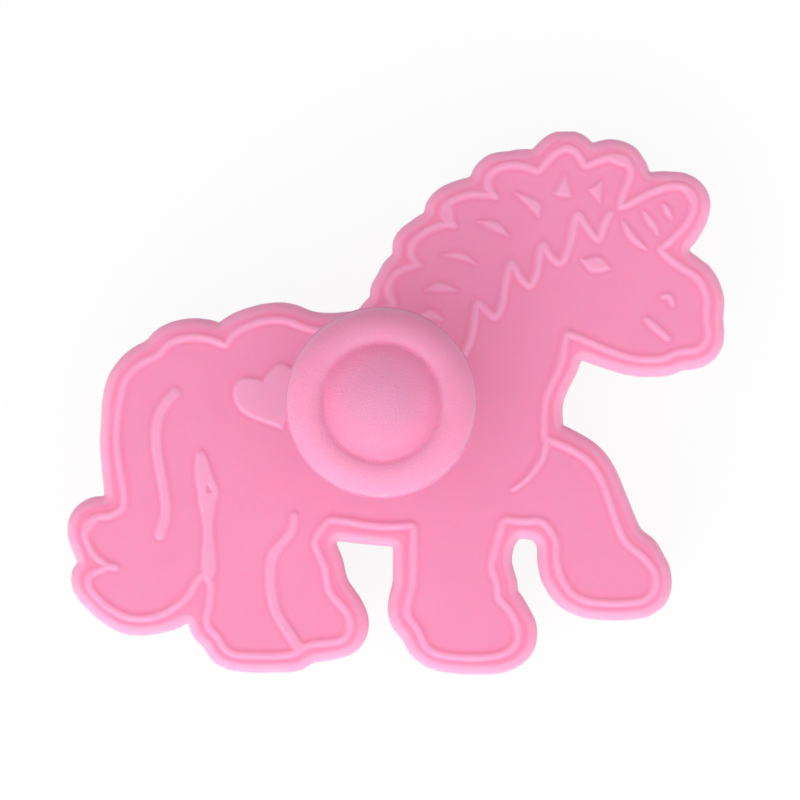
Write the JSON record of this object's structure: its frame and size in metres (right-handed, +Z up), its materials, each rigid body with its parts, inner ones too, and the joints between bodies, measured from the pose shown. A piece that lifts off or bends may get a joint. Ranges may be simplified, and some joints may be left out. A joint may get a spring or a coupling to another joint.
{
  "type": "cookie cutter",
  "caption": "Plastic cookie cutter in the outline of a unicorn, with a sprung plunger that embosses the dough and pushes the cookie out.",
  "frame": {"origin": "centre of the top plate's box, on the surface that the cutting edge stands on", "axes": "+X towards the figure's head, +Y towards its back and mane, +Z up along the plunger"},
  "size_m": [0.09, 0.0746, 0.041],
  "materials": {
    "body_plastic": "moulded pink polypropylene with a fine matt grain",
    "stamp_plastic": "moulded pink polypropylene with a fine matt grain",
    "knob_plastic": "moulded pink polypropylene, finely textured for grip",
    "spring_steel": "drawn stainless spring wire",
    "screw_steel": "stainless, plain"
  },
  "bodies": {
    "cutter": {"cutter_body": "body_plastic", "return_spring": "spring_steel"},
    "plunger": {"stamp_plate": "stamp_plastic", "plunger_stem": "stamp_plastic", "stamp_screw": "screw_steel", "knob_base": "knob_plastic", "knob_washer": "screw_steel", "knob_screw": "screw_steel", "knob_cap": "knob_plastic"}
  },
  "joints": [
    {"name": "plunger_press", "type": "slide", "parent": "cutter", "child": "plunger", "axis": [0, 0, -1], "range_m": [0, 0.0084], "stiffness_N_per_m": 350, "springref_m": -0.004, "deforming": ["return_spring"]}
  ]
}
